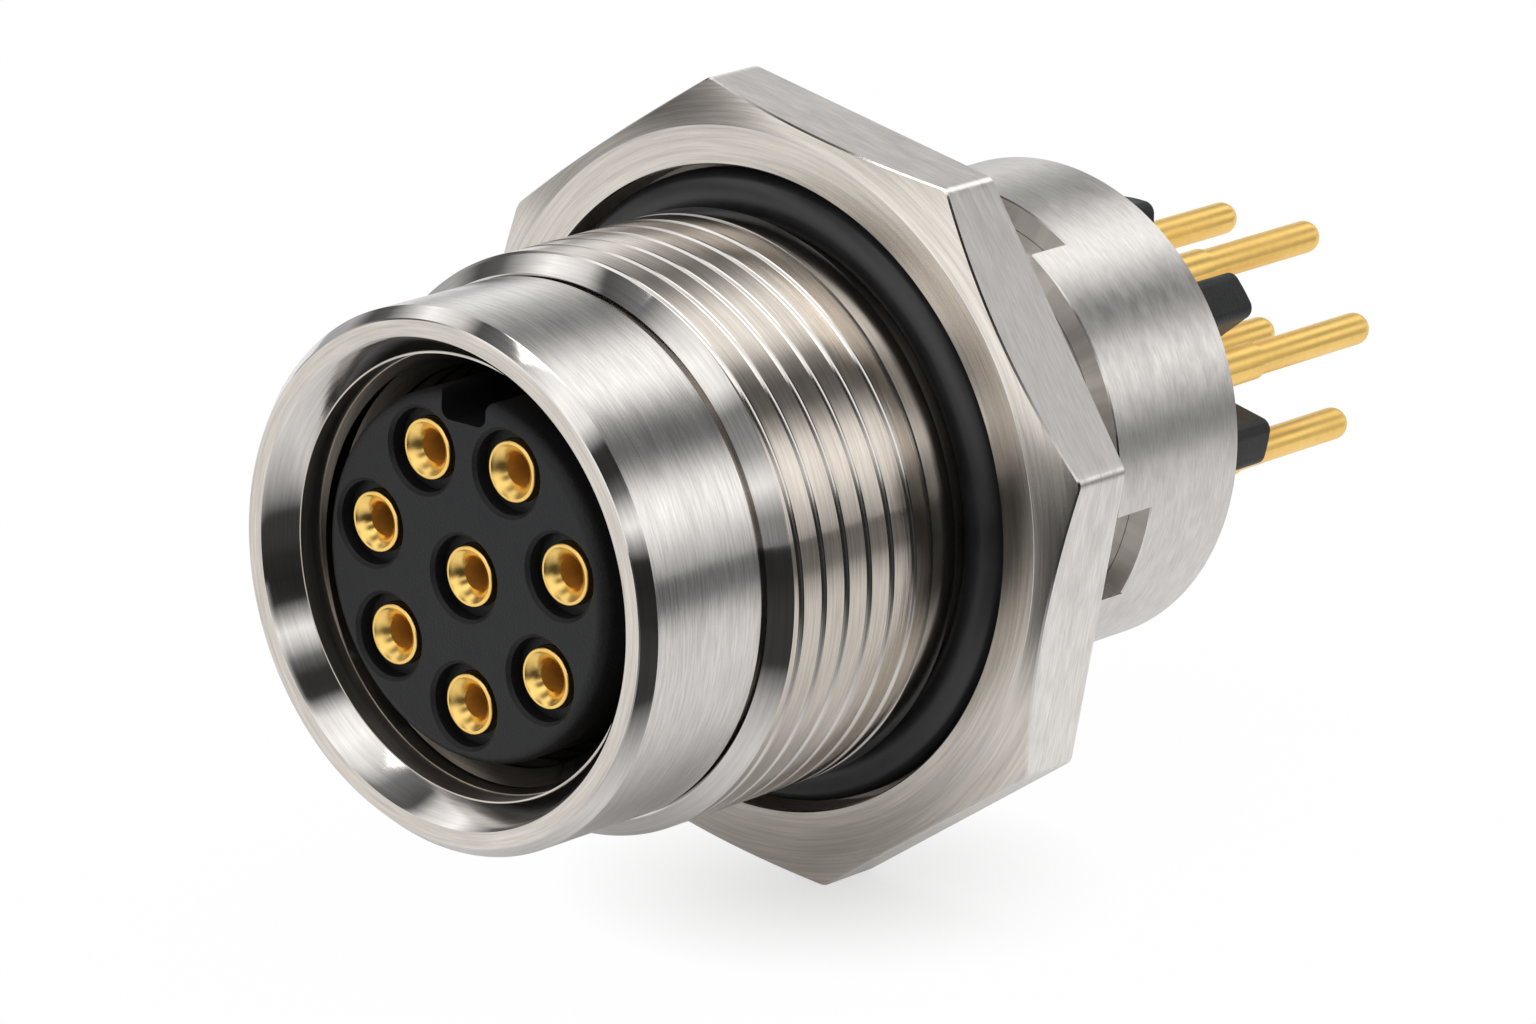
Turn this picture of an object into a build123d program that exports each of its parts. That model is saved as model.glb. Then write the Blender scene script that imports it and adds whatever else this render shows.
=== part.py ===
"""Panel-mount circular connector socket with eight contacts, seven on a ring and one in the middle.

Lengths are millimetres. The socket's axis is the Y axis and its mouth faces -Y. Y = 0 is the front face
of the flange, which seats on the panel, and +Z points through the key slot. Angles go round the Y axis,
from +X towards +Z. The two fine threads are left plain here: the outside one stands at its crest and the
inside one at its crest too, which is its smallest radius.
"""
import os
from math import cos, radians, sin, sqrt

from build123d import *

# Shell, outside, from the mouth to the rear
FRONT_LENGTH = 12.2
BARREL_D = 14.9
RIM_CHAMFER = 0.3
RIM_CHAMFER_LENGTH = 0.38
BARREL_LENGTH = 4.4
RELIEF_D = 14.5
RELIEF_LENGTH = 0.15
MOUNT_THREAD_D = 16.0
MOUNT_THREAD_CHAMFER = 0.4
MOUNT_THREAD_LENGTH = 6.95
MOUNT_THREAD_END_SLOPE = 0.65
NECK_D = 14.7
FLANGE_THICKNESS = 2.6
FLANGE_SIDES = 8
FLANGE_ACROSS_FLATS = 21.0
FLANGE_PHASE = 11.5
FLANGE_FACE_D = 20.3
FLANGE_CHAMFER_ANGLE = 30.0
FLANGE_CORNER_RADIUS = 0.4
REAR_NECK_D = 12.6
REAR_NECK_END = 11.7
REAR_NECK_LEAD = 0.2

# Shell, inside, from the mouth to the rear
MOUTH_EDGE = 0.12
MOUTH_CONE_WIDTH = 0.5
MOUTH_CONE_LENGTH = 0.76
MOUTH_BORE_STEP = 0.6
MOUTH_BORE_LENGTH = 0.75
COUPLING_THREAD_D = 10.92
COUPLING_THREAD_LENGTH = 4.7
COUPLING_RELIEF_DEPTH = 0.64
COUPLING_RELIEF_LENGTH = 0.8
LEDGE_LENGTH = 1.0
LEDGE_WIDTH = 0.4

# Panel seal
PANEL_RING_CORD = 1.5
PANEL_RING_PROUD = 0.1

# Contact carrier
CARRIER_SETBACK = 0.9
CARRIER_EDGE_RADIUS = 0.35
CARRIER_COLLAR_LENGTH = 6.2
KEY_TO_CONTACT = 0.7403
KEY_DEPTH = 0.85
KEY_FLOOR_RADIUS = 0.3
KEY_MOUTH_RADIUS = 0.25
CARRIER_SEAL_CORD = 0.74
CARRIER_SEAL_SETBACK = 1.2
CARRIER_SEAL_GROOVE_SPARE = 0.26

# Contact places
RING_CONTACTS = 7
NOSE_WALL = 0.3
FIRST_CONTACT_ANGLE = 90.0 - 180.0 / RING_CONTACTS

# Contact holes in the carrier
WELL_D = 2.3
WELL_DEPTH = 0.5
WELL_EDGE = 0.1

# Closed-entry hood
HOOD_D = 1.7
HOOD_SETBACK = 0.2
HOOD_LENGTH = 4.9
HOOD_MOUTH_D = 1.44
HOOD_FUNNEL_LENGTH = 0.28
HOOD_ENTRY_LENGTH = 0.87
HOOD_EDGE_RADIUS = 0.06

# Contact, and the plug's pin that it takes
PIN_D = 0.8
CONTACT_BORE_DEPTH = 5.0
TINE_D = 1.3
TINE_LENGTH = 3.4
SLOT_WIDTH = 0.14
TINE_GAP = 0.1
BODY_D = 1.4
HOOD_SEAT_LENGTH = 0.5
COLLAR_D = 1.9
COLLAR_LENGTH = 1.0
SHANK_D = 1.3
SHOULDER_D = 1.1
SHOULDER_REACH = 4.9
SHOULDER_EDGE = 0.04
TAIL_D = 0.95
TAIL_LENGTH = 5.2

# Rear insulator
STAR_D = 10.4
STAR_RIM_REACH = 0.4
POST_REACH = 3.8
POST_INNER_D = 4.6
POST_EDGE_RADIUS = 0.35
POST_TOP_RADIUS = 0.12

# Rear sleeve
SLEEVE_D = 14.0
SLEEVE_START = 7.4
SLEEVE_LENGTH = 5.3
SLEEVE_LIP_LENGTH = 0.8
SLEEVE_EDGE = 0.12
NOTCHES = 4
NOTCH_WIDTH = 2.9
NOTCH_LENGTH = 1.5
NOTCH_PHASE = -20.0

# Clearances on the radius
RING_CLEARANCE = 0.04
RECESS_CLEARANCE = 0.16
NOSE_CLEARANCE = 0.36
LEDGE_CLEARANCE = 0.1
CARRIER_CLEARANCE = 0.03
HOOD_CLEARANCE = 0.02
CONTACT_CLEARANCE = 0.02
PIN_CLEARANCE = 0.02
PIN_ENTRY_CLEARANCE = 0.03
SLEEVE_CLEARANCE = 0.01
LIP_CLEARANCE = 0.05
POST_CLEARANCE = 0.25

# Diameters that follow from what goes in or through
SEAL_RECESS_D = NECK_D + 2 * (RING_CLEARANCE + PANEL_RING_CORD + RECESS_CLEARANCE)
MOUTH_BORE_D = COUPLING_THREAD_D + 2 * MOUTH_BORE_STEP
MOUTH_D = MOUTH_BORE_D + 2 * (MOUTH_CONE_WIDTH + MOUTH_EDGE)
COUPLING_RELIEF_D = COUPLING_THREAD_D + 2 * COUPLING_RELIEF_DEPTH
CARRIER_NOSE_D = COUPLING_THREAD_D - 2 * NOSE_CLEARANCE
LEDGE_D = CARRIER_NOSE_D + 2 * LEDGE_CLEARANCE
SEAT_BORE_D = LEDGE_D + 2 * LEDGE_WIDTH
RING_D = CARRIER_NOSE_D - 2 * (WELL_D / 2 + WELL_EDGE + NOSE_WALL)
KEY_WIDTH = 2 * (RING_D / 2 * cos(radians(FIRST_CONTACT_ANGLE)) - KEY_TO_CONTACT)

# Places along the axis that several pieces share
MOUTH_Y = -FRONT_LENGTH
BARREL_END_Y = MOUTH_Y + BARREL_LENGTH
THREAD_START_Y = BARREL_END_Y + RELIEF_LENGTH
THREAD_END_Y = THREAD_START_Y + MOUNT_THREAD_LENGTH
COUPLING_START_Y = MOUTH_Y + MOUTH_EDGE + MOUTH_CONE_LENGTH + MOUTH_BORE_LENGTH
COUPLING_END_Y = COUPLING_START_Y + COUPLING_THREAD_LENGTH
LEDGE_START_Y = COUPLING_END_Y + COUPLING_RELIEF_LENGTH
LEDGE_END_Y = LEDGE_START_Y + LEDGE_LENGTH
CARRIER_FACE_Y = MOUTH_Y + CARRIER_SETBACK
CARRIER_END_Y = LEDGE_END_Y + CARRIER_COLLAR_LENGTH
HOOD_FRONT_Y = CARRIER_FACE_Y + HOOD_SETBACK
HOOD_END_Y = HOOD_FRONT_Y + HOOD_LENGTH
TINE_FRONT_Y = HOOD_FRONT_Y + HOOD_FUNNEL_LENGTH + HOOD_ENTRY_LENGTH + TINE_GAP
BODY_START_Y = HOOD_END_Y - HOOD_SEAT_LENGTH
COLLAR_START_Y = CARRIER_END_Y - COLLAR_LENGTH
SLEEVE_END_Y = SLEEVE_START + SLEEVE_LENGTH
LIP_Y = SLEEVE_END_Y - SLEEVE_LIP_LENGTH
STAR_RIM_Y = SLEEVE_END_Y + STAR_RIM_REACH
POST_END_Y = SLEEVE_END_Y + POST_REACH
SHOULDER_END_Y = SLEEVE_END_Y + SHOULDER_REACH
TAIL_END_Y = SHOULDER_END_Y + TAIL_LENGTH


def turned(outline):
    """Turn a closed (radius, y) outline once round the Y axis."""
    return revolve(make_face(Polyline(*outline, close=True)), Axis.Y)


def rod(diameter, start, end):
    """A cylinder on the Y axis from one y to another."""
    return Pos(0, start, 0) * extrude(Plane.XZ * Circle(diameter / 2), -(end - start))


def tube(outer, inner, start, end):
    """A plain tube on the Y axis from one y to another."""
    return rod(outer, start, end) - rod(inner, start, end)


def turn_to(angle):
    """Turn about the Y axis, from +X towards +Z."""
    return Rot(0, -angle, 0)


def contact_places():
    """Places of the contacts, the ring first and clockwise as seen from the mouth, then the middle one."""
    places = []
    for index in range(RING_CONTACTS):
        angle = radians(FIRST_CONTACT_ANGLE - index * 360.0 / RING_CONTACTS)
        places.append((RING_D / 2 * cos(angle), RING_D / 2 * sin(angle)))
    places.append((0.0, 0.0))
    return places


def octagon_flange():
    """The wrench flange, its corners rounded and its front corners turned off by a cone."""
    corner_radius = FLANGE_ACROSS_FLATS / 2 / cos(radians(180.0 / FLANGE_SIDES))
    outline = RegularPolygon(corner_radius, FLANGE_SIDES)
    outline = fillet(outline.vertices(), FLANGE_CORNER_RADIUS)
    flats = extrude(Plane.XZ * outline, -FLANGE_THICKNESS)
    flats = turn_to(FLANGE_PHASE) * flats
    slope = (corner_radius - FLANGE_FACE_D / 2) * sin(radians(FLANGE_CHAMFER_ANGLE)) / cos(
        radians(FLANGE_CHAMFER_ANGLE)
    )
    envelope = turned(
        [
            (0, 0),
            (FLANGE_FACE_D / 2, 0),
            (corner_radius, slope),
            (corner_radius, FLANGE_THICKNESS),
            (0, FLANGE_THICKNESS),
        ]
    )
    return flats & envelope


def shell_body():
    """Barrel, thread stand and both necks as one turned blank."""
    barrel = BARREL_D / 2
    crest = MOUNT_THREAD_D / 2
    neck = NECK_D / 2
    rear = REAR_NECK_D / 2
    return turned(
        [
            (0, MOUTH_Y),
            (barrel - RIM_CHAMFER, MOUTH_Y),
            (barrel, MOUTH_Y + RIM_CHAMFER_LENGTH),
            (barrel, BARREL_END_Y),
            (RELIEF_D / 2, BARREL_END_Y),
            (RELIEF_D / 2, THREAD_START_Y),
            (crest - MOUNT_THREAD_CHAMFER, THREAD_START_Y),
            (crest, THREAD_START_Y + MOUNT_THREAD_CHAMFER),
            (crest, THREAD_END_Y),
            (neck, THREAD_END_Y + MOUNT_THREAD_END_SLOPE),
            (neck, FLANGE_THICKNESS),
            (rear, FLANGE_THICKNESS),
            (rear, REAR_NECK_END - REAR_NECK_LEAD),
            (rear - REAR_NECK_LEAD, REAR_NECK_END),
            (0, REAR_NECK_END),
        ]
    )


def shell_bore():
    """The space inside the shell, turned from the mouth to the rear end."""
    mouth = MOUTH_D / 2
    entry = MOUTH_BORE_D / 2
    crest = COUPLING_THREAD_D / 2
    relief = COUPLING_RELIEF_D / 2
    cone_start = MOUTH_Y + MOUTH_EDGE
    cone_end = cone_start + MOUTH_CONE_LENGTH
    return turned(
        [
            (0, MOUTH_Y),
            (mouth, MOUTH_Y),
            (mouth - MOUTH_EDGE, cone_start),
            (entry, cone_end),
            (entry, COUPLING_START_Y),
            (crest, COUPLING_START_Y + entry - crest),
            (crest, COUPLING_END_Y),
            (relief, COUPLING_END_Y),
            (relief, LEDGE_START_Y),
            (LEDGE_D / 2, LEDGE_START_Y),
            (LEDGE_D / 2, LEDGE_END_Y),
            (SEAT_BORE_D / 2, LEDGE_END_Y),
            (SEAT_BORE_D / 2, REAR_NECK_END),
            (0, REAR_NECK_END),
        ]
    )


def shell():
    """The whole metal shell with its wrench flange, seal recess and bore."""
    recess = tube(SEAL_RECESS_D, NECK_D, 0, PANEL_RING_CORD - PANEL_RING_PROUD)
    return shell_body() + (octagon_flange() - recess) - shell_bore()


def panel_o_ring():
    """The seal that the flange presses on the panel, a little proud of the flange."""
    radius = NECK_D / 2 + RING_CLEARANCE + PANEL_RING_CORD / 2
    centre = PANEL_RING_CORD / 2 - PANEL_RING_PROUD
    return revolve(Pos(radius, centre) * Circle(PANEL_RING_CORD / 2), Axis.Y)


def carrier_seal_place():
    """Radius and y of the centre of the carrier seal's cord."""
    radius = SEAT_BORE_D / 2 - CARRIER_CLEARANCE - CARRIER_SEAL_CORD / 2
    return radius, LEDGE_END_Y + CARRIER_SEAL_SETBACK + CARRIER_SEAL_CORD / 2


def carrier_seal():
    """The seal between the carrier's collar and the shell."""
    radius, centre = carrier_seal_place()
    return revolve(Pos(radius, centre) * Circle(CARRIER_SEAL_CORD / 2), Axis.Y)


def key_slot():
    """The key slot along the top of the carrier's nose, with rounded floor corners and mouth edges."""
    nose = CARRIER_NOSE_D / 2
    half = KEY_WIDTH / 2
    floor = nose - KEY_DEPTH
    groove = Pos(0, floor + KEY_WIDTH) * Rectangle(KEY_WIDTH, 2 * KEY_WIDTH)
    lower = groove.vertices().sort_by(Axis.Y)[:2]
    groove = fillet(lower, KEY_FLOOR_RADIUS)
    # Each mouth edge is rounded by an arc that meets the slot's wall and the nose's round outline.
    reach = nose - KEY_MOUTH_RADIUS
    side = half + KEY_MOUTH_RADIUS
    height = sqrt(reach**2 - side**2)
    for direction in (-1, 1):
        touch = (direction * side * nose / reach, height * nose / reach)
        corner = Polyline((direction * half, height), (direction * half, nose), touch)
        scrap = make_face([*corner.edges(), *Polyline(touch, (direction * side, height),
                                                      (direction * half, height)).edges()])
        groove += scrap - Pos(direction * side, height) * Circle(KEY_MOUTH_RADIUS)
    start = CARRIER_FACE_Y
    return Pos(0, start, 0) * extrude(Plane.XZ * groove, -(LEDGE_END_Y - start))


def contact_hole():
    """The stepped hole for one contact and its hood, on the Y axis."""
    well = WELL_D / 2
    hood = HOOD_D / 2 + HOOD_CLEARANCE
    body = BODY_D / 2 + CONTACT_CLEARANCE
    collar = COLLAR_D / 2 + CONTACT_CLEARANCE
    return turned(
        [
            (0, CARRIER_FACE_Y),
            (well + WELL_EDGE, CARRIER_FACE_Y),
            (well, CARRIER_FACE_Y + WELL_EDGE),
            (well, CARRIER_FACE_Y + WELL_DEPTH),
            (hood, CARRIER_FACE_Y + WELL_DEPTH),
            (hood, HOOD_END_Y),
            (body, HOOD_END_Y),
            (body, COLLAR_START_Y),
            (collar, COLLAR_START_Y),
            (collar, CARRIER_END_Y),
            (0, CARRIER_END_Y),
        ]
    )


def contact_carrier():
    """The moulded insert that holds the contacts, its collar seated on the shell's ledge."""
    nose = CARRIER_NOSE_D / 2
    collar = SEAT_BORE_D / 2 - CARRIER_CLEARANCE
    seal_radius, seal_centre = carrier_seal_place()
    groove_floor = seal_radius - CARRIER_SEAL_CORD / 2
    groove_half = (CARRIER_SEAL_CORD + CARRIER_SEAL_GROOVE_SPARE) / 2
    body = turned(
        [
            (0, CARRIER_FACE_Y),
            (nose, CARRIER_FACE_Y),
            (nose, LEDGE_END_Y),
            (collar, LEDGE_END_Y),
            (collar, seal_centre - groove_half),
            (groove_floor, seal_centre - groove_half),
            (groove_floor, seal_centre + groove_half),
            (collar, seal_centre + groove_half),
            (collar, CARRIER_END_Y),
            (0, CARRIER_END_Y),
        ]
    )
    front = body.edges().filter_by(GeomType.CIRCLE).sort_by(Axis.Y)[0]
    body = fillet(front, CARRIER_EDGE_RADIUS)
    body -= key_slot()
    for x, z in contact_places():
        body -= Pos(x, 0, z) * contact_hole()
    return body


def post():
    """One post of the rear insulator on the +X side, as wide as the space between two shanks allows."""
    half = RING_D / 2 * sin(radians(180.0 / RING_CONTACTS)) - shank_radius(STAR_RIM_Y) - POST_CLEARANCE
    inner = POST_INNER_D / 2
    reach = POST_END_Y - LIP_Y
    block = Pos(inner + STAR_D / 2, LIP_Y + reach / 2, 0) * Box(STAR_D, reach, 2 * half)
    block &= rod(STAR_D, LIP_Y, POST_END_Y)
    outer_edges = block.edges().filter_by(Axis.Y).sort_by(Axis.X)[-2:]
    block = fillet(outer_edges, POST_EDGE_RADIUS)
    return fillet(block.faces().sort_by(Axis.Y)[-1].edges(), POST_TOP_RADIUS)


def rear_insulator():
    """The moulded piece behind the carrier, with a post between each two tails of the ring."""
    body = rod(SEAT_BORE_D - 2 * CARRIER_CLEARANCE, CARRIER_END_Y, LIP_Y) + rod(STAR_D, LIP_Y, STAR_RIM_Y)
    one_post = post()
    for index in range(RING_CONTACTS):
        angle = FIRST_CONTACT_ANGLE - (index + 0.5) * 360.0 / RING_CONTACTS
        body += turn_to(angle) * one_post
    hole = turned(
        [
            (0, CARRIER_END_Y),
            (shank_radius(CARRIER_END_Y) + CONTACT_CLEARANCE, CARRIER_END_Y),
            (shank_radius(STAR_RIM_Y) + CONTACT_CLEARANCE, STAR_RIM_Y),
            (0, STAR_RIM_Y),
        ]
    )
    for x, z in contact_places():
        body -= Pos(x, 0, z) * hole
    return body


def rear_sleeve():
    """The sleeve over the rear neck, with a lip that holds the insulator and notches in its front edge."""
    outer = SLEEVE_D / 2
    inner = REAR_NECK_D / 2 + SLEEVE_CLEARANCE
    lip = STAR_D / 2 + LIP_CLEARANCE
    body = turned(
        [
            (inner, SLEEVE_START),
            (outer, SLEEVE_START),
            (outer, SLEEVE_END_Y - SLEEVE_EDGE),
            (outer - SLEEVE_EDGE, SLEEVE_END_Y),
            (lip, SLEEVE_END_Y),
            (lip, LIP_Y),
            (inner, LIP_Y),
        ]
    )
    notch = Pos(outer, SLEEVE_START, 0) * Box(outer, 2 * NOTCH_LENGTH, NOTCH_WIDTH)
    for index in range(NOTCHES):
        body -= turn_to(NOTCH_PHASE + index * 360.0 / NOTCHES) * notch
    return body


def contact_hood():
    """The closed-entry hood of a contact, on the Y axis, with a funnel that leads the pin in."""
    outer = HOOD_D / 2
    entry = PIN_D / 2 + PIN_ENTRY_CLEARANCE
    seat = BODY_D / 2 + HOOD_CLEARANCE
    funnel_end = HOOD_FRONT_Y + HOOD_FUNNEL_LENGTH
    return turned(
        [
            (HOOD_MOUTH_D / 2, HOOD_FRONT_Y),
            (outer - HOOD_EDGE_RADIUS, HOOD_FRONT_Y),
            (outer, HOOD_FRONT_Y + HOOD_EDGE_RADIUS),
            (outer, HOOD_END_Y),
            (seat, HOOD_END_Y),
            (seat, funnel_end + HOOD_ENTRY_LENGTH),
            (entry, funnel_end + HOOD_ENTRY_LENGTH),
            (entry, funnel_end),
        ]
    )


def shank_radius(y):
    """Radius of the contact's shank, which tapers from its collar to its shoulder."""
    length = SHOULDER_END_Y - SHOULDER_EDGE - CARRIER_END_Y
    return (SHANK_D + (SHOULDER_D - SHANK_D) * (y - CARRIER_END_Y) / length) / 2


def contact():
    """One contact on the Y axis: slotted tines, body, retaining collar, shank, shoulder and solder tail."""
    bore = PIN_D / 2 + PIN_CLEARANCE
    tail = TAIL_D / 2
    bore_end = TINE_FRONT_Y + CONTACT_BORE_DEPTH
    blank = turned(
        [
            (0, bore_end + bore),
            (bore, bore_end),
            (bore, TINE_FRONT_Y),
            (TINE_D / 2, TINE_FRONT_Y),
            (TINE_D / 2, BODY_START_Y),
            (BODY_D / 2, BODY_START_Y),
            (BODY_D / 2, COLLAR_START_Y),
            (COLLAR_D / 2, COLLAR_START_Y),
            (COLLAR_D / 2, CARRIER_END_Y),
            (shank_radius(CARRIER_END_Y), CARRIER_END_Y),
            (SHOULDER_D / 2, SHOULDER_END_Y - SHOULDER_EDGE),
            (SHOULDER_D / 2 - SHOULDER_EDGE, SHOULDER_END_Y),
            (tail, SHOULDER_END_Y),
            (tail, TAIL_END_Y - tail),
            (0, TAIL_END_Y - tail),
        ]
    )
    tip = Pos(0, TAIL_END_Y - tail, 0) * Sphere(tail)
    slots = Box(SLOT_WIDTH, 2 * TINE_LENGTH, 2 * TINE_D) + Box(2 * TINE_D, 2 * TINE_LENGTH, SLOT_WIDTH)
    return blank + tip - Pos(0, TINE_FRONT_Y, 0) * slots


def save(name, solid):
    """Write one named piece."""
    export_step(solid, f"parts/{name}.step")


def main():
    os.makedirs("parts", exist_ok=True)
    save("shell", shell())
    save("panel_o_ring", panel_o_ring())
    save("carrier_seal", carrier_seal())
    save("contact_carrier", contact_carrier())
    save("rear_insulator", rear_insulator())
    save("rear_sleeve", rear_sleeve())
    one_contact = contact()
    one_hood = contact_hood()
    for number, (x, z) in enumerate(contact_places(), start=1):
        save(f"contact_{number}", Pos(x, 0, z) * one_contact)
        save(f"contact_hood_{number}", Pos(x, 0, z) * one_hood)


main()
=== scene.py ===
"""Finish of a panel-mount circular connector socket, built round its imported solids.

The socket's axis is the Y axis and its mouth faces -Y. Shapes are worked out in millimetres as whole numpy
arrays and written to the meshes in metres. Angles go round the Y axis, from +X towards +Z.
"""
import math
from collections import namedtuple

import bpy
import numpy as np
from mathutils import Matrix, Vector


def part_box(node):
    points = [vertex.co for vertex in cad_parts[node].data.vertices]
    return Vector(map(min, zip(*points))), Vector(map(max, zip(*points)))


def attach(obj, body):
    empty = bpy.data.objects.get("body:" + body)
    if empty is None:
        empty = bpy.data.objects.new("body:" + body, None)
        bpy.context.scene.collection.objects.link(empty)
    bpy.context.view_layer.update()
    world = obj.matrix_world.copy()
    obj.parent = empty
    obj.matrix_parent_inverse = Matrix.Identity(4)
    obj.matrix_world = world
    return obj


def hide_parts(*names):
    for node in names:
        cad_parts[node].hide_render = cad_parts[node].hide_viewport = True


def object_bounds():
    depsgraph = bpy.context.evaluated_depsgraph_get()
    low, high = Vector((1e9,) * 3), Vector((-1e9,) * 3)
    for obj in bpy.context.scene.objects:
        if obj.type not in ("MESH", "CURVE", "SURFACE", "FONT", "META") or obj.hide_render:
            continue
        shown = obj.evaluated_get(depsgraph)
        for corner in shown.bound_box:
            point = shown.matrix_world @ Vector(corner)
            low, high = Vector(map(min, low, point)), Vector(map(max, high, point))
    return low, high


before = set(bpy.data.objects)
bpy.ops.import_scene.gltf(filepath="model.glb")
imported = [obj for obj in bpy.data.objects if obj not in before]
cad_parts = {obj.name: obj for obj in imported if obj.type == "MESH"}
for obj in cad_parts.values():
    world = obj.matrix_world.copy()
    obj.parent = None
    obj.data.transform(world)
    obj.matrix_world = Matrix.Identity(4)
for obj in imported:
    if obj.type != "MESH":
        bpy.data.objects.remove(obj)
CAD_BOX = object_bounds()

bl_info = {
    "name": "Connector socket finish",
    "version": (1, 0, 0),
    "blender": (4, 5, 0),
    "location": "3D View > Sidebar > Socket",
    "description": "Threads, edges and surface finishes of a panel-mount connector socket",
    "category": "Object",
}

MM = 0.001
WELD_MM = 1e-5
SHARP_ANGLE = math.radians(25.0)
FULL_TURN = 2.0 * math.pi
BODY = "root"


def frame_box(node):
    """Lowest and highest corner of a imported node, in millimetres."""
    low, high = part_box(node)
    return np.array(low) / MM, np.array(high) / MM


SHELL_LOW, SHELL_HIGH = frame_box("shell")
SLEEVE_LOW, SLEEVE_HIGH = frame_box("rear_sleeve")
RING_LOW, RING_HIGH = frame_box("panel_o_ring")
HOOD_LOW, HOOD_HIGH = frame_box("contact_hood_8")

# Shell, outside
MOUTH_Y = SHELL_LOW[1]
BARREL_R = 7.45
RIM_CHAMFER = (0.3, 0.38)
BARREL_END_Y = MOUTH_Y + 4.4
RELIEF_R = 7.25
THREAD_Y = (BARREL_END_Y + 0.15, BARREL_END_Y + 7.1)
THREAD_R = 8.0
THREAD_LEAD = 0.5
NECK_R = 7.35
FLANGE_THICKNESS = 2.6
FLANGE_SIDES = 8
FLANGE_FLAT_R = 10.5
FLANGE_FACE_R = 10.15
FLANGE_PHASE = math.radians(11.5)
FLANGE_CORNER_R = 0.4
FLANGE_SLOPE = math.tan(math.radians(30.0))
FLANGE_HALF = math.pi / FLANGE_SIDES
RECESS_R = 9.05
RECESS_DEPTH = 1.4
REAR_NECK_R = 6.3
REAR_NECK_LEAD = 0.2
REAR_Y = SHELL_HIGH[1]

# Rounded corners of the flange: distance of their circles' centres from the axis, and half the angle that
# each takes, seen from the axis
CORNER_CENTRE = (FLANGE_FLAT_R - FLANGE_CORNER_R) / math.cos(FLANGE_HALF)
CORNER_HALF = math.atan2(
    FLANGE_CORNER_R * math.sin(FLANGE_HALF), CORNER_CENTRE + FLANGE_CORNER_R * math.cos(FLANGE_HALF)
)

# Shell, inside
MOUTH_R = 6.68
MOUTH_EDGE = 0.12
MOUTH_BORE_R = 6.06
MOUTH_CONE = 0.76
MOUTH_BORE = 0.75
COUPLING_R = 5.46
COUPLING_LENGTH = 4.7
CONE_START_Y = MOUTH_Y + MOUTH_EDGE
COUPLING_START_Y = CONE_START_Y + MOUTH_CONE + MOUTH_BORE
COUPLING_END_Y = COUPLING_START_Y + COUPLING_LENGTH
COUPLING_RELIEF = (6.1, 0.8)
LEDGE = (5.2, 1.0)
SEAT_R = 5.6

# Edges that are only broken, all over the metal
EDGE = 0.04

# Thread grooves as (distance from the groove's middle, depth), where one groove's middle passes +X, and the
# two ends of the run-out groove
MOUNT_GROOVE = ((0.015, 0.13), (0.08, 0.015), (0.11, 0.0))
MOUNT_START_Y = -6.87
RUNOUT_Y = (-1.8, -1.6)
COUPLING_GROOVE = ((0.06, 0.45), (0.4, 0.02), (0.44, 0.0))

# Depth from which a band of the outside thread has the groove's finish
GROOVE_SHOWS = 0.01

# Sleeve
SLEEVE_R = 7.0
SLEEVE_BORE_R = 6.31
SLEEVE_LIP = (5.25, 0.8)
SLEEVE_EDGE = 0.12
NOTCHES = 4
NOTCH_WIDTH = 2.9
NOTCH_LENGTH = 1.5
NOTCH_PHASE = math.radians(-20.0)

# Contact hood
HOOD_R = 0.85
HOOD_MOUTH_R = 0.72
HOOD_ENTRY_R = 0.43
HOOD_SEAT_R = 0.72
HOOD_FUNNEL = 0.28
HOOD_ENTRY = 0.87
HOOD_EDGE = 0.06
HOOD_SWELL = 0.02

CONTACTS = 8

# Steps across a flange corner, a notch and the space between two notches
CORNER_COLUMNS = 7
NOTCH_COLUMNS = 17
SPACE_COLUMNS = 61

# An even column of the shell is left out nearer to a corner's middle than this many times CORNER_HALF
CORNER_CLEAR = 1.2

# Steps round the seal ring and its cord, round a hood, over its lip and down its funnel
RING_COLUMNS = 288
CORD_ROWS = 48
HOOD_COLUMNS = 64
LIP_ROWS = 5
FUNNEL_ROWS = 7

# Camera, as fitted to the photograph: distances in millimetres from the middle of the mouth's plane, lens and
# sensor in millimetres, and clip distances in metres
CAMERA_AZIMUTH = math.radians(41.73)
CAMERA_ELEVATION = math.radians(16.78)
CAMERA_ROLL = math.radians(0.6)
CAMERA_DISTANCE = 210.46
CAMERA_ACROSS = 8.6345
CAMERA_UP = 1.9371
CAMERA_LENS = 187.5
CAMERA_SENSOR = 36.0
CAMERA_CLIP = (0.01, 10.0)


class SocketShape(bpy.types.PropertyGroup):
    """Sizes of the parts that only the finish shows."""

    columns: bpy.props.IntProperty(
        name="Columns", description="Steps round the shell", default=360, min=96, max=480
    )
    mount_pitch: bpy.props.FloatProperty(
        name="Mounting thread pitch", description="Distance between two grooves of the outside thread",
        default=0.9 * MM, min=0.5 * MM, max=2.0 * MM, unit="LENGTH", precision=5,
    )
    coupling_pitch: bpy.props.FloatProperty(
        name="Coupling thread pitch", description="Distance between two grooves of the inside thread",
        default=1.0 * MM, min=0.5 * MM, max=2.0 * MM, unit="LENGTH", precision=5,
    )


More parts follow.
